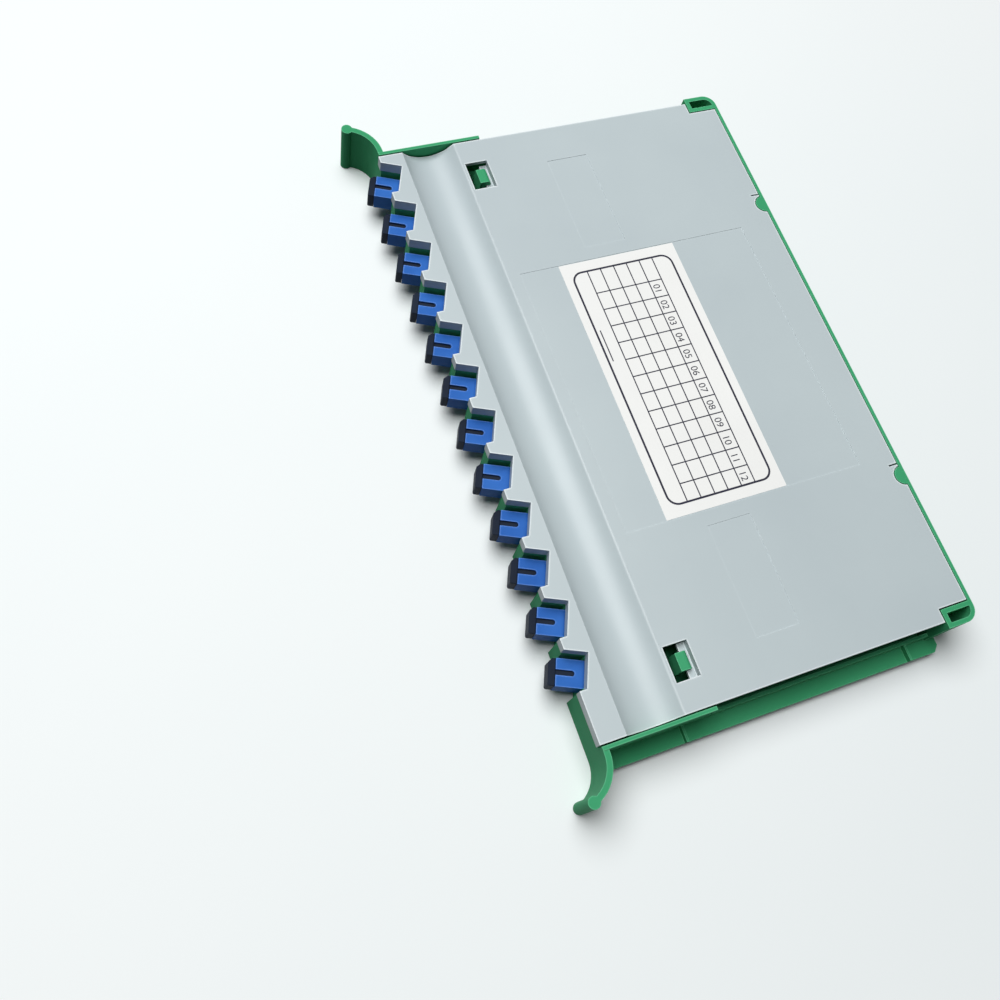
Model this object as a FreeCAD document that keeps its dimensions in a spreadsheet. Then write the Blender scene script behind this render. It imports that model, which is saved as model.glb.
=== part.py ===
import FreeCAD, Part
import math
import os
import re
import Sketcher

# Fibre splice tray: a moulded base with a row of slanted adapters along its front, under a hinged cover.
# Millimetres and degrees. X runs along the row, -Y is the front, +Z is up, and the underside is at Z = 0.
# The pieces are drawn with Y = 0 on the front edge of the cover, and then moved to the middle of the part.

ADAPTER_COUNT = 12
HOLDER_SLOTS = 6
SIDES = (-1, 1)

# Two points this close together are one place
NEAR = 0.01

SIZES = {
    # Cover: a thin plate with a hollow groove along X and a skirt along its saw-tooth front
    "tray_height": 28,
    "cover_depth": 199,
    "cover_wall": 2,
    "skirt_depth": 6.3,
    "skirt_wall": 1.6,
    "side_skirt_depth": 4.5,
    "groove_start": 13,
    "groove_width": 28.5,
    "groove_depth": 6.5,
    "groove_round": 2,
    # Windows in the cover, with the ledge that a hook of the base holds down
    "window_inset": 22.6,
    "window_width": 17,
    "window_gap": 2,
    "window_length": 12.3,
    "ledge_reach": 3.9,
    "ledge_drop": 4,
    "ledge_wall": 1.6,
    # Shallow panels in the cover's top
    "panel_depth": 0.25,
    "label_panel_width": 146.8,
    "label_panel_start": 48.7,
    "label_panel_margin": 19.6,
    "plate_gap": 7.6,
    "plate_width": 57,
    "plate_start": 88.4,
    "plate_length": 23.2,
    "label_margin": 0.4,
    "label_length": 66.5,
    "label_start": 70,
    "label_thickness": 0.15,
    # Row of slanted notches, one for each adapter
    "adapter_spacing": 24.68,
    "adapter_angle": 23.5,
    "row_margin": 8.35,
    "end_margin": 39.37,
    "notch_depth": 10.2,
    "notch_width": 16.4,
    # Base moulding
    "floor_wall": 2,
    "base_wall": 1.8,
    "side_gap": 0.8,
    "rear_gap": 0.4,
    "wall_gap": 0.3,
    "front_recess": 0.6,
    "end_wall_length": 57,
    "end_gap": 1.5,
    "side_wall_height": 10,
    # Fibre horns at the two front corners
    "arm_offset": 1.1,
    "arm_radius": 18.2,
    "arm_wall": 2.9,
    "arm_sweep": 73,
    "arm_drop": 0.5,
    "tip_radius": 2.9,
    # Side rails with gussets
    "rail_width": 8,
    "rail_bottom": 3,
    "rail_wall": 2.2,
    "rail_stop": 12.2,
    "rail_chamfer": 3,
    "gusset_wall": 1.2,
    "gusset_height": 3,
    "front_gusset": 46,
    "rear_gusset": 31.2,
    # Rear corner pockets
    "pocket_bulge": 0.8,
    "pocket_width": 9.6,
    "pocket_length": 18,
    "pocket_wall": 2.4,
    "pocket_gap": 0.7,
    "corner_radius": 7,
    "hollow_flat": 0.4,
    # Half-round tabs on the rear wall, over the cover's rear edge, and the slit beside each one
    "tab_middle": 85,
    "tab_half_width": 4.8,
    "tab_reach": 4.6,
    "tab_wall": 1.2,
    "tab_gap": 0.5,
    "tab_lift": 0.3,
    "slit_gap": 0.9,
    "slit_width": 0.8,
    "slit_length": 4.8,
    # Snap hooks that stand in the windows
    "hook_width": 8.6,
    "hook_start": 4.7,
    "hook_wall": 2.2,
    "hook_overlap": 2.3,
    "hook_lift": 0.3,
    "hook_head": 2.7,
    "hook_nose": 0.9,
    "hook_flat": 0.8,
    "hook_round": 2.4,
    # Fibre spools and the pegs that place the splice holders
    "spool_gap": 0.5,
    "spool_row": 122,
    "spool_radius": 30,
    "spool_wall": 1.6,
    "spool_height": 12,
    "lip_reach": 5,
    "lip_width": 8,
    "lip_wall": 1.4,
    "peg_radius": 2,
    "peg_height": 2.6,
    "peg_gap": 0.2,
    # Splice holders: combs with a slot for each splice protector
    "holder_gap": 1,
    "holder_width": 40,
    "holder_length": 34,
    "holder_height": 9,
    "holder_slot": 3.2,
    "holder_spacing": 5.2,
    "holder_slot_depth": 5.4,
    # Adapter: housing with a flange, open from end to end, with a key slot in the top of each port
    "groove_gap": 0.55,
    "housing_width": 12.9,
    "housing_height": 9.3,
    "front_length": 14.3,
    "rear_length": 12.2,
    "flange_width": 18,
    "flange_height": 11,
    "flange_wall": 2,
    "bore_width": 9.1,
    "bore_height": 7.5,
    "key_width": 2.5,
    "key_length": 8.7,
    "key_round": 1.2,
    "seat_gap": 0.15,
    "post_width": 2,
    "post_wall": 1.8,
    "post_rise": 2,
    "overcut": 1,
    # Latch insert and ceramic sleeve inside each housing
    "insert_gap": 0.05,
    "septum_wall": 2,
    "tube_radius": 2.2,
    "tube_half": 6.2,
    "arm_thick": 0.9,
    "latch_height": 3.4,
    "latch_half": 7.6,
    "latch_hook": 0.5,
    "latch_hook_length": 1.2,
    "latch_inset": 1.2,
    "sleeve_radius": 1.6,
    "sleeve_bore": 1.25,
    "sleeve_length": 11.4,
    "sleeve_gap": 0.05,
    "sleeve_slit": 0.5,
    # Dust cap: a plate with cut front corners and a hollow plug
    "cap_wall": 3.3,
    "cap_inset": 0.15,
    "cap_chamfer": 1.8,
    "cap_corner": 0.6,
    "cap_seat_gap": 0.1,
    "plug_length": 8.9,
    "plug_wall": 0.9,
    "plug_gap": 0.15,
}

doc = FreeCAD.newDocument("splice_tray")
sheet = doc.addObject("Spreadsheet::Sheet", "Sizes")
for row, (alias, number) in enumerate(SIZES.items(), start=1):
    sheet.set(f"A{row}", alias)
    sheet.set(f"B{row}", str(number))
    sheet.setAlias(f"B{row}", alias)
doc.recompute()


def bound(formula):
    """Write a formula of size names as an expression on the sheet."""
    return re.sub(r"[a-z_]+", lambda word: f"Sizes.{word[0]}" if word[0] in SIZES else word[0], formula)


def value(formula):
    """Work a formula of size names out to a number."""
    return float(sheet.evalExpression(bound(formula)))


# Places that several pieces share, written as formulas of the sizes
LAST = f"({ADAPTER_COUNT - 1}*adapter_spacing)"
HALF_WIDTH = f"((row_margin + {LAST} + end_margin)/2)"
SIDE_INNER = f"({HALF_WIDTH} + side_gap)"
SIDE_OUTER = f"({SIDE_INNER} + base_wall)"
REAR_INNER = "(cover_depth + rear_gap)"
REAR_OUTER = f"({REAR_INNER} + base_wall)"
FLOOR_START = "(notch_depth + 2*base_wall)"
ARM_Y = "(front_recess + arm_wall/2 - arm_radius)"
ARM_TOP = "(tray_height - arm_drop)"
FRONT_END = f"({ARM_Y} + arm_radius*cos(arm_sweep) - tip_radius)"
MIDDLE_Y = f"(({REAR_OUTER} + {FRONT_END})/2)"
PLATE_BOTTOM = "(tray_height - cover_wall)"
SKIRT_BOTTOM = "(tray_height - skirt_depth)"
WALL_TOP = f"({SKIRT_BOTTOM} - wall_gap)"
POCKET_OUTER = f"({SIDE_OUTER} + pocket_bulge)"
POCKET_INNER = f"({POCKET_OUTER} - pocket_width)"
POCKET_FRONT = f"({REAR_OUTER} - pocket_length)"
WINDOW_X = f"({HALF_WIDTH} - window_inset)"
WINDOW_START = "(groove_start + groove_width + window_gap)"
WINDOW_REAR = f"({WINDOW_START} + window_length)"
LEDGE_TOP = "(tray_height - ledge_drop)"
GROOVE_MIDDLE = "(groove_start + groove_width/2)"
GROOVE_RADIUS = "((groove_width^2/4 + groove_depth^2)/(2*groove_depth))"
TAB_RADIUS = "((tab_half_width^2 + tab_reach^2)/(2*tab_reach))"
AXIS_HEIGHT = "(tray_height - cover_wall - groove_depth - groove_gap - housing_height/2)"
HOLDER_X = "((holder_gap + holder_width)/2)"
SPOOL_X = f"({HOLDER_X} + holder_width/2 + spool_gap + lip_reach + spool_radius)"

# First notch: A and D on the front edge, B and C at its inner end, with B-C square to the adapter's axis
SIN = "sin(adapter_angle)"
COS = "cos(adapter_angle)"
TAN = "tan(adapter_angle)"
B_X = f"(row_margin - {HALF_WIDTH})"
B_Y = "notch_depth"
C_X = f"({B_X} + notch_width*{COS})"
C_Y = f"({B_Y} - notch_width*{SIN})"
SEAT_X = f"({B_X} + notch_width/2*{COS} + base_wall*{SIN})"
SEAT_Y = f"({B_Y} - notch_width/2*{SIN} + base_wall*{COS})"


def shifted(formula, distance):
    return f"({formula} + {distance})"


def edge_a(y, inward="0"):
    """X of the notch's slanted side at height y of the plan, or of the line that lies inward of it."""
    return f"({B_X} - ({B_Y} - ({y}))*{TAN} - ({inward})/{COS})"


def corner_b(inward):
    x = f"({B_X} + ({inward})*({SIN} - {COS}))"
    y = f"({B_Y} + ({inward})*({SIN} + {COS}))"
    return x, y


def corner_c(inward):
    run = f"(({inward})*(1 - {SIN})/{COS})"
    x = f"({C_X} + ({inward}))"
    y = f"({C_Y} + ({inward})*{COS} - {run}*{SIN})"
    return x, y


def seat_point(across, along):
    """A point given in an adapter's own directions, across and along its axis, from its seat."""
    x = f"({SEAT_X} + ({across})*{COS} + ({along})*{SIN})"
    y = f"({SEAT_Y} - ({across})*{SIN} + ({along})*{COS})"
    return x, y


def box_points(left, right, front, rear):
    return [(left, front), (right, front), (right, rear), (left, rear)]


def side_box(side, near, far, front, rear):
    """A rectangle between two distances from the middle, on the left or the right side."""
    if side < 0:
        return box_points(f"-({far})", f"-({near})", front, rear)
    return box_points(near, far, front, rear)


def plane(body, role):
    return next(item for item in body.Origin.OriginFeatures if item.Role == role)


def new_body(name):
    body = doc.addObject("PartDesign::Body", name)
    body.Label = name
    return body


def new_sketch(body, name, role="XY_Plane", offset=("0", "0", "0")):
    sketch = body.newObject("Sketcher::SketchObject", name)
    sketch.AttachmentSupport = [(plane(body, role), "")]
    sketch.MapMode = "FlatFace"
    for axis, formula in zip("xyz", offset):
        sketch.setExpression(f"AttachmentOffset.Base.{axis}", bound(formula))
    return sketch


def tie(sketch, ties):
    """Add constraints to a sketch, each with the formula that drives it, or with None."""
    first = sketch.ConstraintCount
    sketch.addConstraint([constraint for constraint, formula in ties])
    for index, (constraint, formula) in enumerate(ties, start=first):
        if formula:
            sketch.setExpression(f"Constraints[{index}]", bound(formula))


def radius_tie(geometry, radius):
    return Sketcher.Constraint("Radius", geometry, value(radius)), radius


def point_ties(geometry, end, point):
    """Ties of a point to two formulas, measured from the sketch's origin."""
    return [(Sketcher.Constraint(kind, -1, 1, geometry, end, value(formula)), formula)
            for kind, formula in zip(("DistanceX", "DistanceY"), point)]


def vector(point):
    return FreeCAD.Vector(value(point[0]), value(point[1]), 0)


def arc_between(start, finish, radius, bulge):
    """An arc from start to finish that bulges to the right (1) or to the left (-1) of that direction."""
    chord = finish - start
    normal = FreeCAD.Vector(chord.y, -chord.x, 0).normalize() * bulge
    rise = radius - math.sqrt(radius ** 2 - chord.Length ** 2 / 4)
    middle = (start + finish) * 0.5 + normal * rise
    return Part.Arc(start, middle, finish)


def outline(sketch, points, arcs=None):
    """Draw a closed outline. arcs maps the index of an edge to its radius formula and its bulge."""
    arcs = arcs or {}
    count = len(points)
    spots = [vector(point) for point in points]
    ends = []
    ties = []
    for index in range(count):
        start = spots[index]
        finish = spots[(index + 1) % count]
        if index in arcs:
            radius, bulge = arcs[index]
            geometry = sketch.addGeometry(arc_between(start, finish, value(radius), bulge), False)
            first_is_start = sketch.getPoint(geometry, 1).distanceToPoint(start) < NEAR
            ends.append((geometry, 1, 2) if first_is_start else (geometry, 2, 1))
            ties.append(radius_tie(geometry, radius))
        else:
            geometry = sketch.addGeometry(Part.LineSegment(start, finish), False)
            ends.append((geometry, 1, 2))
    for index in range(count):
        geometry, start, finish = ends[index]
        following = ends[(index + 1) % count]
        ties.append((Sketcher.Constraint("Coincident", geometry, finish, following[0], following[1]), None))
        ties += point_ties(geometry, start, points[index])
    tie(sketch, ties)


def circle(sketch, centre, radius):
    shape = Part.Circle(vector(centre), FreeCAD.Vector(0, 0, 1), value(radius))
    geometry = sketch.addGeometry(shape, False)
    tie(sketch, [radius_tie(geometry, radius)] + point_ties(geometry, 3, centre))


def extrude(body, kind, sketch, length, symmetric=False, backwards=False):
    feature = body.newObject(f"PartDesign::{kind}", f"{sketch.Name}_{kind.lower()}")
    feature.Profile = sketch
    if symmetric:
        feature.SideType = "Symmetric"
    feature.Reversed = backwards
    feature.setExpression("Length", bound(length))
    return feature


def pad(body, sketch, length, **options):
    return extrude(body, "Pad", sketch, length, **options)


def pocket(body, sketch, length, **options):
    return extrude(body, "Pocket", sketch, length, **options)


def raise_plan(body, name, loops, bottom, top, arcs=None):
    """Raise outlines of the plan from one level to another."""
    sketch = new_sketch(body, name, offset=("0", "0", bottom))
    for index, loop in enumerate(loops):
        outline(sketch, loop, (arcs or {}).get(index))
    return pad(body, sketch, f"({top}) - ({bottom})")


def sink_plan(body, name, loops, top, depth, arcs=None):
    """Cut outlines of the plan downwards from one level."""
    sketch = new_sketch(body, name, offset=("0", "0", top))
    for index, loop in enumerate(loops):
        outline(sketch, loop, (arcs or {}).get(index))
    return pocket(body, sketch, depth)


def repeat(body, name, features, spacing, count, axis="H_Axis"):
    pattern = body.newObject("PartDesign::LinearPattern", name)
    pattern.Originals = features
    pattern.Direction = (features[0].Profile[0], [axis])
    pattern.Mode = "Spacing"
    pattern.setExpression("Offset", bound(spacing))
    pattern.Occurrences = count
    body.Tip = pattern
    return pattern


def mirror(body, name, features, role="YZ_Plane"):
    copy = body.newObject("PartDesign::Mirrored", name)
    copy.Originals = features
    copy.MirrorPlane = (plane(body, role), [""])
    body.Tip = copy
    return copy


def upright_edges(shape, places):
    """Names of the upright edges of a shape that stand at the given places of the plan."""
    names = []
    for number, edge in enumerate(shape.Edges, start=1):
        box = edge.BoundBox
        if box.ZLength < max(box.XLength, box.YLength):
            continue
        for x, y in places:
            if math.hypot(box.Center.x - x, box.Center.y - y) < NEAR:
                names.append(f"Edge{number}")
    return names


def place(piece, x, y, z, angle="0"):
    """Move a piece to its place, with the middle of the whole part over the origin."""
    piece.setExpression("Placement.Base.x", bound(x))
    piece.setExpression("Placement.Base.y", bound(f"{y} - {MIDDLE_Y}"))
    piece.setExpression("Placement.Base.z", bound(z))
    piece.setExpression("Placement.Rotation.Angle", bound(angle))


def base_shell(body):
    """Floor behind the row of adapters, and the walls round it."""
    raise_plan(
        body, "floor",
        [box_points(f"-{SIDE_OUTER}", SIDE_OUTER, FLOOR_START, REAR_OUTER)],
        "0", "floor_wall")
    raise_plan(
        body, "end_walls",
        [side_box(side, SIDE_INNER, SIDE_OUTER, "front_recess", "end_wall_length") for side in SIDES],
        "0", "tray_height")
    raise_plan(
        body, "side_walls",
        [side_box(side, SIDE_INNER, SIDE_OUTER, "end_wall_length", REAR_OUTER) for side in SIDES],
        "0", "side_wall_height")
    raise_plan(
        body, "rear_wall",
        [box_points(f"-{SIDE_OUTER}", SIDE_OUTER, REAR_INNER, REAR_OUTER)],
        "0", "tray_height")


def base_teeth(body):
    """Saw-tooth front with its floor: one tooth, repeated, with a closing piece at each end."""
    inset = "front_recess"
    inner = "(front_recess + base_wall)"
    b_inner = corner_b("base_wall")
    c_inner = corner_c("base_wall")
    step = "adapter_spacing"
    tooth_edge = [(B_X, B_Y), (C_X, C_Y), (C_X, inset), (shifted(edge_a(inset), step), inset)]
    tooth_end = (shifted(B_X, step), B_Y)
    floor_tooth = raise_plan(
        body, "floor_tooth",
        [[(B_X, FLOOR_START)] + tooth_edge + [tooth_end, (shifted(B_X, step), FLOOR_START)]],
        "0", "floor_wall")
    wall_tooth = raise_plan(
        body, "wall_tooth",
        [tooth_edge + [
            tooth_end,
            (shifted(b_inner[0], step), b_inner[1]),
            (shifted(edge_a(inner, "base_wall"), step), inner),
            (f"({C_X} + base_wall)", inner),
            c_inner,
            b_inner]],
        "0", WALL_TOP)
    repeat(body, "teeth", [floor_tooth, wall_tooth], step, ADAPTER_COUNT - 1)

    first_edge = [(f"-{SIDE_OUTER}", inset), (edge_a(inset), inset), (B_X, B_Y)]
    last_edge = [(shifted(x, LAST), y) for x, y in ((B_X, B_Y), (C_X, C_Y), (C_X, inset))]
    last_edge.append((SIDE_OUTER, inset))
    raise_plan(
        body, "floor_ends",
        [first_edge + [(B_X, FLOOR_START), (f"-{SIDE_OUTER}", FLOOR_START)],
         last_edge + [(SIDE_OUTER, FLOOR_START), (shifted(B_X, LAST), FLOOR_START)]],
        "0", "floor_wall")
    raise_plan(
        body, "wall_ends",
        [first_edge + [b_inner, (edge_a(inner, "base_wall"), inner), (f"-{SIDE_OUTER}", inner)],
         last_edge + [
             (SIDE_OUTER, inner),
             (shifted(f"({C_X} + base_wall)", LAST), inner),
             (shifted(c_inner[0], LAST), c_inner[1]),
             (shifted(b_inner[0], LAST), b_inner[1])]],
        "0", WALL_TOP)


def base_pockets(body):
    """Open pockets at the rear corners, round on the outside."""
    towers = raise_plan(
        body, "towers",
        [side_box(side, POCKET_INNER, POCKET_OUTER, POCKET_FRONT, REAR_OUTER) for side in SIDES],
        "0", "tray_height")
    doc.recompute()
    corner = (value(POCKET_OUTER), value(REAR_OUTER))
    rounding = body.newObject("PartDesign::Fillet", "rear_corners")
    rounding.Base = (towers, upright_edges(towers.Shape, [(side * corner[0], corner[1]) for side in SIDES]))
    rounding.setExpression("Radius", bound("corner_radius"))
    body.Tip = rounding

    bend = "(pocket_width - 2*pocket_wall - hollow_flat)"
    hollows = []
    for side in SIDES:
        near = f"({POCKET_INNER} + pocket_wall)"
        far = f"({POCKET_OUTER} - pocket_wall)"
        front = f"({POCKET_FRONT} + pocket_wall)"
        rear = f"({REAR_OUTER} - pocket_wall)"
        sign = "-" if side < 0 else ""
        hollows.append([
            (f"{sign}{near}", front), (f"{sign}{far}", front), (f"{sign}{far}", f"({rear} - {bend})"),
            (f"{sign}({far} - {bend})", rear), (f"{sign}{near}", rear)])
    arcs = {0: {2: (bend, -1)}, 1: {2: (bend, 1)}}
    sink_plan(body, "hollows", hollows, "tray_height", "tray_height - floor_wall", arcs)


def base_arms(body):
    """Curved horn with a round bead at each front corner, turned about an upright axis."""
    centre_x = f"({SIDE_OUTER} + arm_offset)"
    near = "(arm_radius - arm_wall/2)"
    far = "(arm_radius + arm_wall/2)"
    root = raise_plan(
        body, "arm_root",
        [box_points(SIDE_INNER, centre_x, f"({ARM_Y} + {near})", f"({ARM_Y} + {far})")],
        "0", ARM_TOP)
    section = new_sketch(body, "arm_section", "YZ_Plane", (ARM_Y, "0", centre_x))
    outline(section, box_points(near, far, "0", ARM_TOP))
    bend = body.newObject("PartDesign::Revolution", "arm_bend")
    bend.Profile = section
    bend.ReferenceAxis = (section, ["V_Axis"])
    bend.setExpression("Angle", bound("arm_sweep"))
    bend.Reversed = True
    tip = new_sketch(body, "arm_tip")
    tip_x = f"({centre_x} + arm_radius*sin(arm_sweep))"
    tip_y = f"({ARM_Y} + arm_radius*cos(arm_sweep))"
    circle(tip, (tip_x, tip_y), "tip_radius")
    bead = pad(body, tip, ARM_TOP)
    mirror(body, "left_arm", [root, bend, bead])


def base_rails(body):
    """Side rails with cut rear corners, and low gussets across them."""
    far = f"({SIDE_OUTER} + rail_width)"
    start = f"({ARM_Y} + arm_radius)"
    end = f"({REAR_OUTER} - rail_stop)"
    rails = []
    for sign in ("-", ""):
        rails.append([(f"{sign}{SIDE_INNER}", start), (f"{sign}{far}", start),
                      (f"{sign}{far}", f"({end} - rail_chamfer)"),
                      (f"{sign}({far} - rail_chamfer)", end), (f"{sign}{SIDE_INNER}", end)])
    raise_plan(body, "rails", rails, "rail_bottom", "rail_bottom + rail_wall")
    gussets = []
    for side in SIDES:
        for middle in ("front_gusset", f"({REAR_OUTER} - rear_gusset)"):
            front = f"({middle} - gusset_wall/2)"
            rear = f"({middle} + gusset_wall/2)"
            gussets.append(side_box(side, SIDE_INNER, far, front, rear))
    raise_plan(body, "gussets", gussets, "rail_bottom", "rail_bottom + rail_wall + gusset_height")


def base_tabs(body):
    """Half-round tabs that lie flush in the cover's rear notches."""
    loops = []
    for sign in ("-", ""):
        left = f"({sign}tab_middle - tab_half_width)"
        right = f"({sign}tab_middle + tab_half_width)"
        loops.append(box_points(left, right, REAR_INNER, REAR_OUTER))
    arcs = {index: {0: (TAB_RADIUS, 1)} for index in range(len(loops))}
    raise_plan(body, "tabs", loops, "(tray_height - tab_wall)", "tray_height", arcs)


def base_hooks(body):
    """Upright snap hooks whose heads reach over the ledges in the cover's windows."""
    start = f"({WINDOW_START} + hook_start)"
    stem = f"({start} + hook_wall)"
    reach = f"({WINDOW_REAR} - ledge_reach + hook_overlap)"
    under = f"({LEDGE_TOP} + hook_lift)"
    top = f"({under} + hook_head)"
    profile = new_sketch(body, "hook_profile", "YZ_Plane", ("0", "0", WINDOW_X))
    outline(profile, [(start, "0"), (stem, "0"), (stem, under), (reach, under),
                      (reach, f"({under} + hook_nose)"), (f"({stem} + hook_flat)", top), (start, top)],
            {4: ("hook_round", 1)})
    hook = pad(body, profile, "hook_width", symmetric=True)
    mirror(body, "left_hook", [hook])


def base_seats(body):
    """An open slot for each housing in its seat wall, and two posts behind its flange."""
    half = "(housing_width/2 + seat_gap)"
    bottom = f"({AXIS_HEIGHT} - housing_height/2 - seat_gap)"
    ahead = "(-base_wall - overcut)"
    slot = sink_plan(
        body, "seat_slot",
        [[seat_point(f"-{half}", ahead), seat_point(half, ahead),
          seat_point(half, "overcut"), seat_point(f"-{half}", "overcut")]],
        WALL_TOP, f"{WALL_TOP} - {bottom}")
    repeat(body, "seat_slots", [slot], "adapter_spacing", ADAPTER_COUNT)
    near = "(flange_wall + seat_gap)"
    far = f"({near} + post_wall)"
    loops = []
    for sign in ("-", ""):
        outer = f"({sign}flange_width/2)"
        inner = f"({sign}(flange_width/2 - post_width))"
        loops.append([seat_point(inner, near), seat_point(outer, near),
                      seat_point(outer, far), seat_point(inner, far)])
    posts = raise_plan(body, "post", loops, "0", f"{AXIS_HEIGHT} + post_rise")
    repeat(body, "posts", [posts], "adapter_spacing", ADAPTER_COUNT)


def base_spools(body):
    """Two fibre spools with lips that keep the fibre down, and a peg for each splice holder."""
    rings = new_sketch(body, "spools")
    pegs = new_sketch(body, "pegs")
    lips = []
    for sign in ("-", ""):
        middle = f"({sign}{SPOOL_X})"
        circle(rings, (middle, "spool_row"), "spool_radius")
        circle(rings, (middle, "spool_row"), "spool_radius - spool_wall")
        circle(pegs, (f"({sign}{HOLDER_X})", "spool_row"), "peg_radius")
        inner = "(spool_radius - spool_wall/2)"
        outer = "(spool_radius + lip_reach)"
        for lip_sign in ("-", ""):
            lips.append(box_points(f"({middle} - lip_width/2)", f"({middle} + lip_width/2)",
                                   f"(spool_row + {lip_sign}{inner if lip_sign == '' else outer})",
                                   f"(spool_row + {lip_sign}{outer if lip_sign == '' else inner})"))
            near = f"({middle} + {lip_sign}{inner if lip_sign == '' else outer})"
            far = f"({middle} + {lip_sign}{outer if lip_sign == '' else inner})"
            lips.append(box_points(near, far, "(spool_row - lip_width/2)", "(spool_row + lip_width/2)"))
    pad(body, rings, "floor_wall + spool_height")
    pad(body, pegs, "floor_wall + peg_height")
    top = "(floor_wall + spool_height)"
    raise_plan(body, "lips", lips, f"({top} - lip_wall)", top)


def make_base():
    body = new_body("tray_base")
    base_shell(body)
    base_pockets(body)
    base_arms(body)
    base_rails(body)
    base_tabs(body)
    base_hooks(body)
    base_spools(body)
    base_teeth(body)
    base_seats(body)
    place(body, "0", "0", "0")
    return body


def cover_plate(body):
    """Plate with the long groove, drawn from the side and run along X. The groove's rear edge is rounded."""
    rise = f"({GROOVE_RADIUS} - groove_depth)"
    lower_radius = f"({GROOVE_RADIUS} + cover_wall)"
    lower_half = f"sqrt({lower_radius}^2 - ({rise} + cover_wall)^2)"
    reach = f"({GROOVE_RADIUS} + groove_round)"
    run = f"sqrt({reach}^2 - ({rise} + groove_round)^2)"
    share = f"({GROOVE_RADIUS}/{reach})"
    round_end = (f"({GROOVE_MIDDLE} + {run})", "tray_height")
    round_start = (f"({GROOVE_MIDDLE} + {run}*{share})",
                   f"(tray_height + {rise} - ({rise} + groove_round)*{share})")
    profile = new_sketch(body, "plate_profile", "YZ_Plane")
    outline(
        profile,
        [("0", "tray_height"), ("0", PLATE_BOTTOM),
         (f"({GROOVE_MIDDLE} - {lower_half})", PLATE_BOTTOM),
         (f"({GROOVE_MIDDLE} + {lower_half})", PLATE_BOTTOM),
         ("cover_depth", PLATE_BOTTOM), ("cover_depth", "tray_height"),
         round_end, round_start, ("groove_start", "tray_height")],
        {2: (lower_radius, 1), 6: ("groove_round", 1), 7: (GROOVE_RADIUS, -1)})
    pad(body, profile, f"2*{HALF_WIDTH}", symmetric=True)


def cover_front(body):
    """Front skirt and the saw-tooth notches, each with its own skirt."""
    raise_plan(body, "front_skirt", [box_points(f"-{HALF_WIDTH}", HALF_WIDTH, "0", "skirt_wall")],
               SKIRT_BOTTOM, PLATE_BOTTOM)
    skirt = raise_plan(
        body, "notch_skirt",
        [[(edge_a("0", "skirt_wall"), "0"), (f"({C_X} + skirt_wall)", "0"),
          corner_c("skirt_wall"), corner_b("skirt_wall")]],
        SKIRT_BOTTOM, PLATE_BOTTOM)
    ahead = "(-overcut)"
    notch = sink_plan(
        body, "notch",
        [[(edge_a(ahead), ahead), (C_X, ahead), (C_X, C_Y), (B_X, B_Y)]],
        "tray_height", "skirt_depth")
    repeat(body, "notches", [skirt, notch], "adapter_spacing", ADAPTER_COUNT)
    raise_plan(
        body, "side_skirts",
        [side_box(side, f"({HALF_WIDTH} - skirt_wall)", HALF_WIDTH, "(end_wall_length + end_gap)",
                  f"({POCKET_FRONT} - pocket_gap)") for side in SIDES],
        "(tray_height - side_skirt_depth)", PLATE_BOTTOM)


def cover_windows(body):
    """Two windows, each with a sunk ledge along its rear side."""
    near = f"({WINDOW_X} - window_width/2)"
    far = f"({WINDOW_X} + window_width/2)"
    sink_plan(body, "windows", [side_box(side, near, far, WINDOW_START, WINDOW_REAR) for side in SIDES],
              "tray_height", "cover_wall")
    front = f"({WINDOW_REAR} - ledge_reach)"
    rear = f"({WINDOW_REAR} + ledge_wall)"
    bottom = f"({LEDGE_TOP} - ledge_wall)"
    profile = new_sketch(body, "ledge_profile", "YZ_Plane", ("0", "0", WINDOW_X))
    outline(profile, [(front, bottom), (rear, bottom), (rear, PLATE_BOTTOM), (WINDOW_REAR, PLATE_BOTTOM),
                      (WINDOW_REAR, LEDGE_TOP), (front, LEDGE_TOP)])
    ledge = pad(body, profile, "window_width", symmetric=True)
    mirror(body, "left_ledge", [ledge])


def cover_rear(body):
    """Corner cut-outs round the pockets, half-round recesses under the tabs, and the slits beside them."""
    past = REAR_OUTER
    sink_plan(
        body, "corner_cuts",
        [side_box(side, f"({POCKET_INNER} - pocket_gap)", POCKET_OUTER,
                  f"({POCKET_FRONT} - pocket_gap)", past) for side in SIDES],
        "tray_height", "side_skirt_depth")
    half = "(tab_half_width + tab_gap)"
    recesses = []
    slits = []
    for sign in ("-", ""):
        middle = f"{sign}tab_middle"
        recesses.append(box_points(f"({middle} - {half})", f"({middle} + {half})", REAR_INNER, past))
        slit = f"({middle} - {half} - slit_gap)"
        slits.append(box_points(f"({slit} - slit_width)", slit, "(cover_depth - slit_length)", past))
    arcs = {index: {0: (f"(({half}^2 + (tab_reach + tab_gap)^2)/(2*(tab_reach + tab_gap)))", 1)}
            for index in range(len(recesses))}
    sink_plan(body, "tab_recesses", recesses, "tray_height", "tab_wall + tab_lift", arcs)
    sink_plan(body, "slits", slits, "tray_height", "cover_wall")


def cover_panels(body):
    """Shallow panels for the label and for the blank name plates."""
    panels = [box_points("-label_panel_width/2", "label_panel_width/2", "label_panel_start",
                         "(cover_depth - label_panel_margin)")]
    near = "(label_panel_width/2 + plate_gap)"
    for side in SIDES:
        panels.append(side_box(side, near, f"({near} + plate_width)",
                               "plate_start", "(plate_start + plate_length)"))
    sink_plan(body, "panels", panels, "tray_height", "panel_depth")


def make_cover():
    body = new_body("cover")
    cover_plate(body)
    cover_front(body)
    cover_windows(body)
    cover_rear(body)
    cover_panels(body)
    place(body, "0", "0", "0")
    return body


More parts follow.
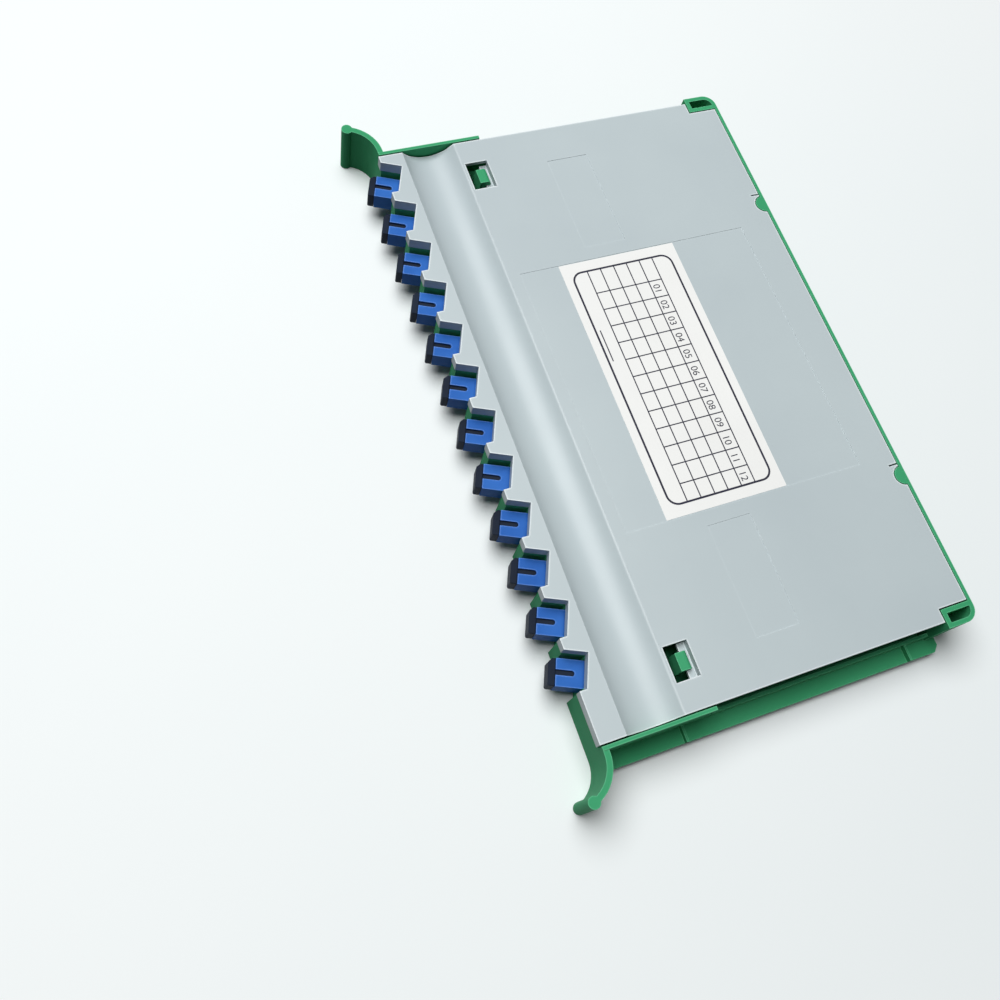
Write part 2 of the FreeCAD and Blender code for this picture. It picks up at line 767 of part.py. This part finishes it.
def make_label():
    half = "(label_panel_width/2 - label_margin)"
    sheet_piece = doc.addObject("Part::Box", "label")
    sheet_piece.setExpression("Length", bound(f"2*{half}"))
    sheet_piece.setExpression("Width", bound("label_length"))
    sheet_piece.setExpression("Height", bound("label_thickness"))
    place(sheet_piece, f"-{half}", "label_start", "tray_height - panel_depth")
    return sheet_piece


def across_axis(body, name, points, start, length, kind="Pad"):
    """Run an outline, drawn across the adapter's axis, backwards from one place on the axis."""
    sketch = new_sketch(body, name, "XZ_Plane", ("0", "0", f"-({start})"))
    outline(sketch, points)
    return extrude(body, kind, sketch, length, backwards=kind == "Pad")


def centred(width, height):
    return box_points(f"-({width})/2", f"({width})/2", f"-({height})/2", f"({height})/2")


def make_housing(name):
    body = new_body(name)
    whole = "(front_length + flange_wall + rear_length)"
    across_axis(body, f"{name}_tube", centred("housing_width", "housing_height"), "-front_length", whole)
    across_axis(body, f"{name}_flange", centred("flange_width", "flange_height"), "0", "flange_wall")
    across_axis(
        body, f"{name}_bore", centred("bore_width", "bore_height"), "-front_length", whole, "Pocket")
    half = "key_width/2"
    front = "(-front_length)"
    front_end = "(key_length - front_length - key_round)"
    rear = "(flange_wall + rear_length)"
    rear_end = "(flange_wall + rear_length - key_length + key_round)"
    keys = [box_points(f"-{half}", half, front, front_end), box_points(f"-{half}", half, rear_end, rear)]
    round_end = "((key_width^2/4 + key_round^2)/(2*key_round))"
    sink_plan(body, f"{name}_keys", keys, "housing_height/2", "(housing_height - bore_height)/2",
              {0: {2: (round_end, 1)}, 1: {0: (round_end, 1)}})
    return body


def make_insert(name):
    """Septum with a tube for the sleeve and two latch arms towards each port."""
    body = new_body(name)
    middle = "(flange_wall/2)"
    across_axis(
        body, f"{name}_septum",
        centred("(bore_width - 2*insert_gap)", "(bore_height - 2*insert_gap)"),
        f"({middle} - septum_wall/2)", "septum_wall")
    tube = new_sketch(body, f"{name}_tube", "XZ_Plane", ("0", "0", f"-{middle}"))
    circle(tube, ("0", "0"), "tube_radius")
    pad(body, tube, "2*tube_half", symmetric=True)
    outer = "(bore_width/2 - insert_gap - latch_inset)"
    inner = f"({outer} - arm_thick)"
    hook = f"({inner} - latch_hook)"
    arms = new_sketch(body, f"{name}_arms", offset=("0", "0", "-latch_height/2"))
    front = f"({middle} - latch_half)"
    rear = f"({middle} + latch_half)"
    for sign in ("-", ""):
        outline(arms, [(f"{sign}{outer}", front), (f"{sign}{hook}", front),
                       (f"{sign}{hook}", f"({front} + latch_hook_length)"),
                       (f"{sign}{inner}", f"({front} + latch_hook_length)"),
                       (f"{sign}{inner}", f"({rear} - latch_hook_length)"),
                       (f"{sign}{hook}", f"({rear} - latch_hook_length)"),
                       (f"{sign}{hook}", rear), (f"{sign}{outer}", rear)])
    pad(body, arms, "latch_height")
    bore = new_sketch(body, f"{name}_bore", "XZ_Plane", ("0", "0", f"-{middle}"))
    circle(bore, ("0", "0"), "sleeve_radius + sleeve_gap")
    pocket(body, bore, "2*tube_half", symmetric=True)
    return body


def make_sleeve(name):
    """Split ceramic sleeve."""
    body = new_body(name)
    ring = new_sketch(body, f"{name}_ring", "XZ_Plane", ("0", "0", "-flange_wall/2"))
    circle(ring, ("0", "0"), "sleeve_radius")
    circle(ring, ("0", "0"), "sleeve_bore")
    pad(body, ring, "sleeve_length", symmetric=True)
    slit = new_sketch(body, f"{name}_slit", "XZ_Plane", ("0", "0", "-flange_wall/2"))
    outline(slit, box_points("-sleeve_slit/2", "sleeve_slit/2", "0", "2*sleeve_radius"))
    pocket(body, slit, "2*sleeve_length", symmetric=True)
    return body


def make_cap(name):
    """Dust cap: plate with one wide and one narrow cut corner, and a hollow plug that goes into the port."""
    body = new_body(name)
    face = "(-front_length - cap_seat_gap)"
    front = f"({face} - cap_wall)"
    half = "(housing_width/2 - cap_inset)"
    rise = "(housing_height/2 - cap_inset)"
    raise_plan(
        body, f"{name}_plate",
        [[(f"-{half}", face), (f"-{half}", f"({front} + cap_chamfer)"), (f"(cap_chamfer - {half})", front),
          (f"({half} - cap_corner)", front), (half, f"({front} + cap_corner)"), (half, face)]],
        f"-{rise}", rise)
    width = "(bore_width - 2*plug_gap)"
    height = "(bore_height - 2*plug_gap)"
    across_axis(body, f"{name}_plug", centred(width, height), face, "plug_length")
    across_axis(body, f"{name}_hollow", centred(f"({width} - 2*plug_wall)", f"({height} - 2*plug_wall)"),
                face, "plug_length", "Pocket")
    return body


def make_holder(name):
    """Comb with a row of slots along X, placed by a peg of the floor."""
    body = new_body(name)
    half_width = "holder_width/2"
    half_length = "holder_length/2"
    raise_plan(
        body, f"{name}_block",
        [box_points(f"-{half_width}", half_width, f"-{half_length}", half_length)],
        "0", "holder_height")
    first = f"(-holder_spacing*{(HOLDER_SLOTS - 1) / 2})"
    slot = sink_plan(
        body, f"{name}_slot",
        [box_points(f"-{half_width}", half_width,
                    f"({first} - holder_slot/2)", f"({first} + holder_slot/2)")],
        "holder_height", "holder_slot_depth")
    repeat(body, f"{name}_slots", [slot], "holder_spacing", HOLDER_SLOTS, "V_Axis")
    socket = new_sketch(body, f"{name}_socket")
    circle(socket, ("0", "0"), "peg_radius + peg_gap")
    pocket(body, socket, "peg_height + peg_gap", backwards=True)
    return body


def copies(make, stem, places):
    """Make a piece once, and set the others of its kind beside it as links."""
    pieces = []
    for number, (suffix, spot) in enumerate(places):
        name = f"{stem}_{suffix}"
        if number == 0:
            piece = make(name)
        else:
            piece = doc.addObject("App::Link", name)
            piece.Label = name
            piece.LinkedObject = pieces[0]
        place(piece, *spot)
        pieces.append(piece)
    return pieces


def main():
    ports = []
    for index in range(ADAPTER_COUNT):
        seat = (f"{SEAT_X} + {index}*adapter_spacing", SEAT_Y, AXIS_HEIGHT, "-adapter_angle")
        ports.append((f"{index + 1:02d}", seat))
    beds = [("left", (f"-{HOLDER_X}", "spool_row", "floor_wall")),
            ("right", (HOLDER_X, "spool_row", "floor_wall"))]
    pieces = [make_base(), make_cover(), make_label()]
    pieces += copies(make_housing, "adapter_housing", ports)
    pieces += copies(make_insert, "latch_insert", ports)
    pieces += copies(make_sleeve, "alignment_sleeve", ports)
    pieces += copies(make_cap, "dust_cap", ports)
    pieces += copies(make_holder, "splice_holder", beds)
    doc.recompute()

    for item in doc.Objects:
        if "Invalid" in item.State or "Error" in item.State:
            raise RuntimeError(f"{item.Label} failed: {item.State}")
    os.makedirs("parts", exist_ok=True)
    for piece in pieces:
        shape = Part.getShape(piece)
        if shape.isNull() or not shape.isValid():
            raise RuntimeError(f"{piece.Label} has no valid shape")
        shape.exportStep(f"parts/{piece.Label}.step")


main()
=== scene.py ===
import bpy
import math
from mathutils import Matrix, Vector


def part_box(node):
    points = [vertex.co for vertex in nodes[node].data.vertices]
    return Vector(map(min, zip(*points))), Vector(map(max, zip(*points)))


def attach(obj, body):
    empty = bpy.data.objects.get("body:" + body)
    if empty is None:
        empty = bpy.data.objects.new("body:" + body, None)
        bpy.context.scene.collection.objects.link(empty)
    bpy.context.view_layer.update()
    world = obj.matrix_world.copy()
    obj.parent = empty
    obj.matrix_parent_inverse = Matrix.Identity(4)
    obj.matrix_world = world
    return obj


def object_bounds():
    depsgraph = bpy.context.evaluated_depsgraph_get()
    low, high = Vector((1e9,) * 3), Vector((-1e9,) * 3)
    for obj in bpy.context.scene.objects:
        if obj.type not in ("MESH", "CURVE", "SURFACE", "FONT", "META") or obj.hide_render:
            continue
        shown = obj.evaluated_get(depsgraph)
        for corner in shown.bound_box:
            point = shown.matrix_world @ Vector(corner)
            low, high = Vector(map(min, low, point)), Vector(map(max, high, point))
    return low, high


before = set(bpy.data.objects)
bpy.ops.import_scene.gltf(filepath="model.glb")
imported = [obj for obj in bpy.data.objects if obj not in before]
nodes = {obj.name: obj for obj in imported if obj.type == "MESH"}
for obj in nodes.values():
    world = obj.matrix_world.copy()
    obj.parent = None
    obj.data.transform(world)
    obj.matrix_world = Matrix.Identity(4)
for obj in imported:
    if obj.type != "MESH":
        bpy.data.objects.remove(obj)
cad_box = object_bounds()

MM = 0.001


# Materials

TONE_DETAIL = 4.0
TONE_RANGE = (0.3, 0.7)  # part of the noise over which one tone passes into the other
GLOSS_SCALE = 55.0
GLOSS_DETAIL = 6.0
GLOSS_SPREAD = 0.06  # how far the roughness strays to either side
GRAIN_SCALE = 2600.0
GRAIN_DETAIL = 2.0
GRAIN_DEPTH = 0.05  # mm
EDGE_SAMPLES = 6
EDGE_TURN = (0.91, 0.8)  # cosine of the turn where the painted edge highlight starts, and where it is full
EDGE_FACING = (0.3, 0.7)  # share of up in the face's direction, from no painted edge highlight to a full one


def srgb(red, green, blue):
    """Linear colour of a colour that is given as it looks, from 0 to 255."""
    channels = []
    for level in (red, green, blue):
        part = level / 255
        channels.append(part / 12.92 if part <= 0.04045 else ((part + 0.055) / 1.055) ** 2.4)
    return (*channels, 1.0)


def noise(tree, place, scale, detail):
    """Noise that keeps to the piece."""
    texture = tree.nodes.new("ShaderNodeTexNoise")
    texture.inputs["Scale"].default_value = scale
    texture.inputs["Detail"].default_value = detail
    tree.links.new(place.outputs["Object"], texture.inputs["Vector"])
    return texture.outputs["Fac"]


def map_range(tree, value, start=(0.0, 1.0), end=(0.0, 1.0), smooth=False):
    """Carry a value from one range to another, and hold it there."""
    mapping = tree.nodes.new("ShaderNodeMapRange")
    if smooth:
        mapping.interpolation_type = "SMOOTHSTEP"
    for socket, limit in zip(("From Min", "From Max", "To Min", "To Max"), (*start, *end)):
        mapping.inputs[socket].default_value = limit
    tree.links.new(value, mapping.inputs["Value"])
    return mapping.outputs["Result"]


def combine(tree, operation, first, second):
    """One number from two."""
    maths = tree.nodes.new("ShaderNodeMath")
    maths.operation = operation
    tree.links.new(first, maths.inputs[0])
    tree.links.new(second, maths.inputs[1])
    return maths.outputs["Value"]


def paint_edge_highlights(tree, place, tint, width, highlight_tint):
    """A painted highlight: a paler tint along the edges of faces that look up."""
    soft = tree.nodes.new("ShaderNodeBevel")
    soft.samples = EDGE_SAMPLES
    soft.inputs["Radius"].default_value = width * MM
    surface = tree.nodes.new("ShaderNodeNewGeometry")
    agree = tree.nodes.new("ShaderNodeVectorMath")
    agree.operation = "DOT_PRODUCT"
    tree.links.new(soft.outputs["Normal"], agree.inputs[0])
    tree.links.new(surface.outputs["Normal"], agree.inputs[1])
    facing = tree.nodes.new("ShaderNodeSeparateXYZ")
    tree.links.new(place.outputs["Normal"], facing.inputs["Vector"])
    near = map_range(tree, agree.outputs["Value"], EDGE_TURN)
    upper = map_range(tree, facing.outputs["Z"], EDGE_FACING)
    blend = tree.nodes.new("ShaderNodeMixRGB")
    blend.inputs["Color2"].default_value = highlight_tint
    tree.links.new(combine(tree, "MULTIPLY", near, upper), blend.inputs["Fac"])
    tree.links.new(tint, blend.inputs["Color1"])
    return blend.outputs["Color"]


def moulded(name, deep, pale, roughness, specular=0.5, grain=0.0, patch=18.0, edge=0.0, highlight_tint=None):
    """Moulded plastic: slow patches between two tones, uneven gloss, a fine grain, and a painted highlight
    along the edges of faces that look up.
    """
    material = bpy.data.materials.new(name)
    material.use_nodes = True
    tree = material.node_tree
    tree.nodes.clear()
    output = tree.nodes.new("ShaderNodeOutputMaterial")
    shader = tree.nodes.new("ShaderNodeBsdfPrincipled")
    tree.links.new(shader.outputs["BSDF"], output.inputs["Surface"])
    shader.inputs["Specular IOR Level"].default_value = specular
    place = tree.nodes.new("ShaderNodeTexCoord")

    ramp = tree.nodes.new("ShaderNodeValToRGB")
    for stop, position, tone in zip(ramp.color_ramp.elements, TONE_RANGE, (deep, pale)):
        stop.position = position
        stop.color = tone
    tree.links.new(noise(tree, place, patch, TONE_DETAIL), ramp.inputs["Fac"])
    tint = ramp.outputs["Color"]
    if edge:
        tint = paint_edge_highlights(tree, place, tint, edge, highlight_tint)
    tree.links.new(tint, shader.inputs["Base Color"])

    gloss = noise(tree, place, GLOSS_SCALE, GLOSS_DETAIL)
    spread = (roughness - GLOSS_SPREAD, roughness + GLOSS_SPREAD)
    tree.links.new(map_range(tree, gloss, end=spread), shader.inputs["Roughness"])

    if grain:
        relief = tree.nodes.new("ShaderNodeBump")
        relief.inputs["Strength"].default_value = grain
        relief.inputs["Distance"].default_value = GRAIN_DEPTH * MM
        tree.links.new(noise(tree, place, GRAIN_SCALE, GRAIN_DETAIL), relief.inputs["Height"])
        tree.links.new(relief.outputs["Normal"], shader.inputs["Normal"])
    return material


# The paler colour at the end of the green, grey and blue lines is a painted highlight along edges that
# look up.
green = moulded("green_plastic", srgb(60, 154, 106), srgb(68, 162, 114), 0.52,
                specular=0.04, grain=0.15, edge=1.2, highlight_tint=srgb(112, 198, 152))
grey = moulded("grey_plastic", srgb(176, 188, 192), srgb(184, 196, 199), 0.40,
               grain=0.12, patch=9.0, edge=2.0, highlight_tint=srgb(236, 244, 246))
paper = moulded("label_paper", srgb(234, 235, 233), srgb(240, 241, 239), 0.6, specular=0.3, grain=0.1)
ink = moulded("label_ink", srgb(16, 18, 36), srgb(24, 26, 48), 0.6, specular=0.3, patch=220.0)
blue = moulded("blue_plastic", srgb(34, 92, 174), srgb(46, 106, 188), 0.5,
               specular=0.12, grain=0.1, patch=60.0, edge=1.5, highlight_tint=srgb(110, 152, 228))
natural = moulded("insert_plastic", srgb(214, 211, 200), srgb(224, 222, 212), 0.45, patch=60.0)
ceramic = moulded("sleeve_ceramic", srgb(230, 228, 222), srgb(238, 237, 232), 0.2, patch=90.0)
slate = moulded("cap_plastic", srgb(20, 28, 42), srgb(28, 38, 54), 0.55,
                specular=0.08, grain=0.15, patch=60.0)
black = moulded("holder_plastic", srgb(34, 35, 37), srgb(44, 45, 48), 0.5, grain=0.15, patch=40.0)


# CAD pieces: a material each, and the width of the rounding at its edges in mm

DRESS = {
    "tray_base": (green, 0.06),
    "cover": (grey, 0.06),
    "label": (paper, 0.0),
    "adapter_housing": (blue, 0.15),
    "latch_insert": (natural, 0.06),
    "alignment_sleeve": (ceramic, 0.08),
    "dust_cap": (slate, 0.30),
    "splice_holder": (black, 0.30),
}
CAD_WELD = 0.002  # mm
ROUNDING_STEPS = 2
SHARP_TURN = 35  # degrees between two faces from which their edge is rounded
AREA_WEIGHT = 60


def dress(node, material, rounding_width):
    """Give a node its material, and round its sharp edges a little, as a mould does."""
    node.data.materials.clear()
    node.data.materials.append(material)
    if not rounding_width:
        return
    weld = node.modifiers.new("weld", "WELD")
    weld.merge_threshold = CAD_WELD * MM
    rounding = node.modifiers.new("rounding", "BEVEL")
    rounding.width = rounding_width * MM
    rounding.segments = ROUNDING_STEPS
    rounding.limit_method = "ANGLE"
    rounding.angle_limit = math.radians(SHARP_TURN)
    rounding.use_clamp_overlap = True
    rounding.miter_outer = "MITER_PATCH"
    shade = node.modifiers.new("shade", "WEIGHTED_NORMAL")
    shade.mode = "FACE_AREA"
    shade.weight = AREA_WEIGHT
    shade.keep_sharp = False


for name, node in nodes.items():
    kind = name if name in DRESS else name.rsplit("_", 1)[0]
    dress(node, *DRESS[kind])


# Print on the label: a ruled table with a round-cornered border and the numbers of the ports.
# Lengths in mm, x from the middle of the label and y from its front edge.

label_low, label_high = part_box("label")
PRINT_RISE = 0.04
PRINT_WELD = 0.001
INK_DEPTH = 0.05
FINE_LINE = 0.6
BORDER_LINE = 1.05
BORDER_HALF = 67.4
BORDER_FRONT = 4.4
BORDER_REAR = 62.1
BORDER_ROUND = 6.0
ROUND_STEPS = 8
ROWS = (13.9, 21.4, 29.0, 36.4, 43.9, 51.5)
FIRST_COLUMN = -53.1
COLUMN_PITCH = 10.03
COLUMNS = 12
NUMBER_HEIGHT = 5.4
NUMBER_ROW = 46.9
UNDERLINE = (-32.0, -13.7, 7.4)  # left end, right end and place in y


def on_label(x, y):
    """Point on the upper side of the print."""
    return Vector((x * MM, label_low.y + y * MM, label_high.z + PRINT_RISE * MM))


class Sheet:
    """Shapes on the label that are gathered into one mesh."""

    def __init__(self):
        self.points = []
        self.faces = []

    def polygon(self, corners):
        first = len(self.points)
        self.points += corners
        self.faces.append(tuple(range(first, first + len(corners))))

    def bar(self, left, right, front, rear):
        self.polygon([on_label(left, front), on_label(right, front),
                      on_label(right, rear), on_label(left, rear)])

    def across(self, left, right, y):
        self.bar(left, right, y - FINE_LINE / 2, y + FINE_LINE / 2)

    def along(self, x, front, rear):
        self.bar(x - FINE_LINE / 2, x + FINE_LINE / 2, front, rear)

    def take(self, mesh):
        first = len(self.points)
        self.points += [vertex.co.copy() for vertex in mesh.vertices]
        self.faces += [tuple(first + corner for corner in polygon.vertices) for polygon in mesh.polygons]

    def build(self, name):
        mesh = bpy.data.meshes.new(name)
        mesh.from_pydata([tuple(point) for point in self.points], [], self.faces)
        mesh.update()
        piece = bpy.data.objects.new(name, mesh)
        bpy.context.scene.collection.objects.link(piece)
        weld = piece.modifiers.new("weld", "WELD")
        weld.merge_threshold = PRINT_WELD * MM
        return piece


def rounded(half, front, rear, radius):
    """Corners of a rectangle with round corners, in order."""
    spots = []
    centres = ((half - radius, rear - radius), (radius - half, rear - radius),
               (radius - half, front + radius), (half - radius, front + radius))
    for quarter, (x, y) in enumerate(centres):
        for step in range(ROUND_STEPS + 1):
            turn = math.pi / 2 * (quarter + step / ROUND_STEPS)
            spots.append((x + radius * math.cos(turn), y + radius * math.sin(turn)))
    return spots


# The lines meet without overlapping: rows end at the border, and columns run from row to row
table = Sheet()
outer = rounded(BORDER_HALF, BORDER_FRONT, BORDER_REAR, BORDER_ROUND)
inner = rounded(BORDER_HALF - BORDER_LINE, BORDER_FRONT + BORDER_LINE, BORDER_REAR - BORDER_LINE,
                BORDER_ROUND - BORDER_LINE)
for index in range(len(outer)):
    following = (index + 1) % len(outer)
    table.polygon([on_label(*outer[index]), on_label(*outer[following]),
                   on_label(*inner[following]), on_label(*inner[index])])
for y in ROWS:
    table.across(BORDER_LINE - BORDER_HALF, BORDER_HALF - BORDER_LINE, y)
for column in range(COLUMNS):
    for front, rear in zip(ROWS, ROWS[1:]):
        table.along(FIRST_COLUMN + COLUMN_PITCH * column, front + FINE_LINE / 2, rear - FINE_LINE / 2)
table.across(*UNDERLINE)
table_print = table.build("label_table")
depth = table_print.modifiers.new("depth", "SOLIDIFY")
depth.thickness = INK_DEPTH * MM
depth.offset = -1.0  # down from the upper side


def number_mesh(text, x, y):
    """Mesh of a plain number that is centred on a point of the label."""
    curve = bpy.data.curves.new(f"number_{text}", "FONT")
    curve.body = text
    curve.size = NUMBER_HEIGHT * MM
    curve.extrude = INK_DEPTH / 2 * MM
    curve.align_x = "CENTER"
    curve.align_y = "CENTER"
    carrier = bpy.data.objects.new(f"number_{text}", curve)
    bpy.context.scene.collection.objects.link(carrier)
    bpy.context.view_layer.update()
    mesh = bpy.data.meshes.new_from_object(carrier.evaluated_get(bpy.context.evaluated_depsgraph_get()))
    mesh.transform(Matrix.Translation(on_label(x, y) - Vector((0.0, 0.0, INK_DEPTH / 2 * MM))))
    bpy.data.objects.remove(carrier)
    bpy.data.curves.remove(curve)
    return mesh


numbers = Sheet()
for column in range(COLUMNS):
    x = FIRST_COLUMN + COLUMN_PITCH * (column + 0.5)
    mesh = number_mesh(f"{column + 1:02d}", x, NUMBER_ROW)
    numbers.take(mesh)
    bpy.data.meshes.remove(mesh)
number_print = numbers.build("label_numbers")

for piece in (table_print, number_print):
    piece.data.materials.append(ink)
    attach(piece, "cover")


# Stage: a pale floor that passes into a white background, one soft lamp and the camera. Lengths in metres.

SEEN_WHITE = 0.93
STUDIO_LIGHT = 0.065
FLOOR_REACH = 6.0
FLOOR_GAP = 0.2 * MM  # below the object
FLOOR_ROUGHNESS = 0.9
FLOOR_PATCH = 2.0
FLOOR_SEEN = 0.95  # share of the floor's colour to the eye
FLOOR_BOUNCE = 0.16  # share of it in the light that goes back up on the object
FADE = (0.24, 0.80)  # distance from the object where the floor starts to turn white, and where it is white
KEY_SPOT = (-0.675, -0.45, 2.175)
KEY_SIZE = 2.1
KEY_POWER = 65.25


def level_by_ray(tree, seen_level, light_level):
    """One level to the eye, in reflections and through glass, and another for the light on the object."""
    path = tree.nodes.new("ShaderNodeLightPath")
    seen = path.outputs["Is Camera Ray"]
    for ray in ("Is Glossy Ray", "Is Transmission Ray"):
        seen = combine(tree, "MAXIMUM", seen, path.outputs[ray])
    return map_range(tree, seen, end=(light_level, seen_level))


def dim_the_bounce(material, seen_share, bounce_share):
    """Scale a floor's colour by one share to the eye and by another in the light it sends back up."""
    tree = material.node_tree
    shader = tree.nodes["Principled BSDF"]
    tint = shader.inputs["Base Color"].links[0].from_socket
    scaled = tree.nodes.new("ShaderNodeVectorMath")
    scaled.operation = "SCALE"
    tree.links.new(tint, scaled.inputs[0])
    tree.links.new(level_by_ray(tree, seen_share, bounce_share), scaled.inputs["Scale"])
    tree.links.new(scaled.outputs["Vector"], shader.inputs["Base Color"])


def fade_out(material, distances):
    """Let a floor pass into the white of the background with its distance from the object."""
    tree = material.node_tree
    output = tree.nodes["Material Output"]
    shader = tree.nodes["Principled BSDF"]
    place = tree.nodes.new("ShaderNodeNewGeometry")
    distance = tree.nodes.new("ShaderNodeVectorMath")
    distance.operation = "LENGTH"
    tree.links.new(place.outputs["Position"], distance.inputs[0])
    glow = tree.nodes.new("ShaderNodeEmission")
    tree.links.new(level_by_ray(tree, SEEN_WHITE, STUDIO_LIGHT), glow.inputs["Strength"])
    mixed = tree.nodes.new("ShaderNodeMixShader")
    tree.links.new(map_range(tree, distance.outputs["Value"], distances, smooth=True), mixed.inputs[0])
    tree.links.new(shader.outputs["BSDF"], mixed.inputs[1])
    tree.links.new(glow.outputs["Emission"], mixed.inputs[2])
    tree.links.new(mixed.outputs["Shader"], output.inputs["Surface"])


floor_mesh = bpy.data.meshes.new("floor")
floor_mesh.from_pydata([(-FLOOR_REACH, -FLOOR_REACH, 0), (FLOOR_REACH, -FLOOR_REACH, 0),
                        (FLOOR_REACH, FLOOR_REACH, 0), (-FLOOR_REACH, FLOOR_REACH, 0)], [], [(0, 1, 2, 3)])
floor = bpy.data.objects.new("floor", floor_mesh)
bpy.context.scene.collection.objects.link(floor)
floor.location.z = cad_box[0].z - FLOOR_GAP
floor_white = moulded("floor_white", srgb(243, 249, 250), srgb(247, 252, 252), FLOOR_ROUGHNESS,
                      specular=0.0, patch=FLOOR_PATCH)
dim_the_bounce(floor_white, FLOOR_SEEN, FLOOR_BOUNCE)
fade_out(floor_white, FADE)
floor.data.materials.append(floor_white)

world = bpy.data.worlds.new("studio")
bpy.context.scene.world = world
world.use_nodes = True
sky = world.node_tree.nodes["Background"]
sky.inputs["Color"].default_value = (1.0, 1.0, 1.0, 1.0)
world.node_tree.links.new(level_by_ray(world.node_tree, SEEN_WHITE, STUDIO_LIGHT), sky.inputs["Strength"])

key_data = bpy.data.lights.new("key", "AREA")
key_data.shape = "DISK"
key_data.size = KEY_SIZE
key_data.energy = KEY_POWER
key = bpy.data.objects.new("key", key_data)
bpy.context.scene.collection.objects.link(key)
key.location = KEY_SPOT
key.rotation_mode = "QUATERNION"
key.rotation_quaternion = (-Vector(KEY_SPOT)).to_track_quat("-Z", "Y")

# The camera's place, turn and lens were worked out from the outline of the cover in the photo
SENSOR_WIDTH = 36.0
LENS = 36.1706
CAMERA_RIGHT = Vector((0.333500, 0.928766, 0.161776))
CAMERA_UP = Vector((-0.892813, 0.256042, 0.370577))
CAMERA_BACK = Vector((0.302758, -0.268023, 0.914604))
CAMERA_SPOT = Vector((0.181724, -0.221757, 0.453187))
NEAREST, FARTHEST = 0.01, 50.0

camera_data = bpy.data.cameras.new("camera")
camera_data.sensor_width = SENSOR_WIDTH
camera_data.lens = LENS
camera_data.clip_start = NEAREST
camera_data.clip_end = FARTHEST
camera = bpy.data.objects.new("camera", camera_data)
bpy.context.scene.collection.objects.link(camera)
turned = Matrix((CAMERA_RIGHT, CAMERA_UP, CAMERA_BACK)).transposed().to_4x4()
camera.matrix_world = Matrix.Translation(CAMERA_SPOT) @ turned
bpy.context.scene.camera = camera
bpy.context.scene.view_settings.view_transform = "Standard"

bpy.context.view_layer.update()
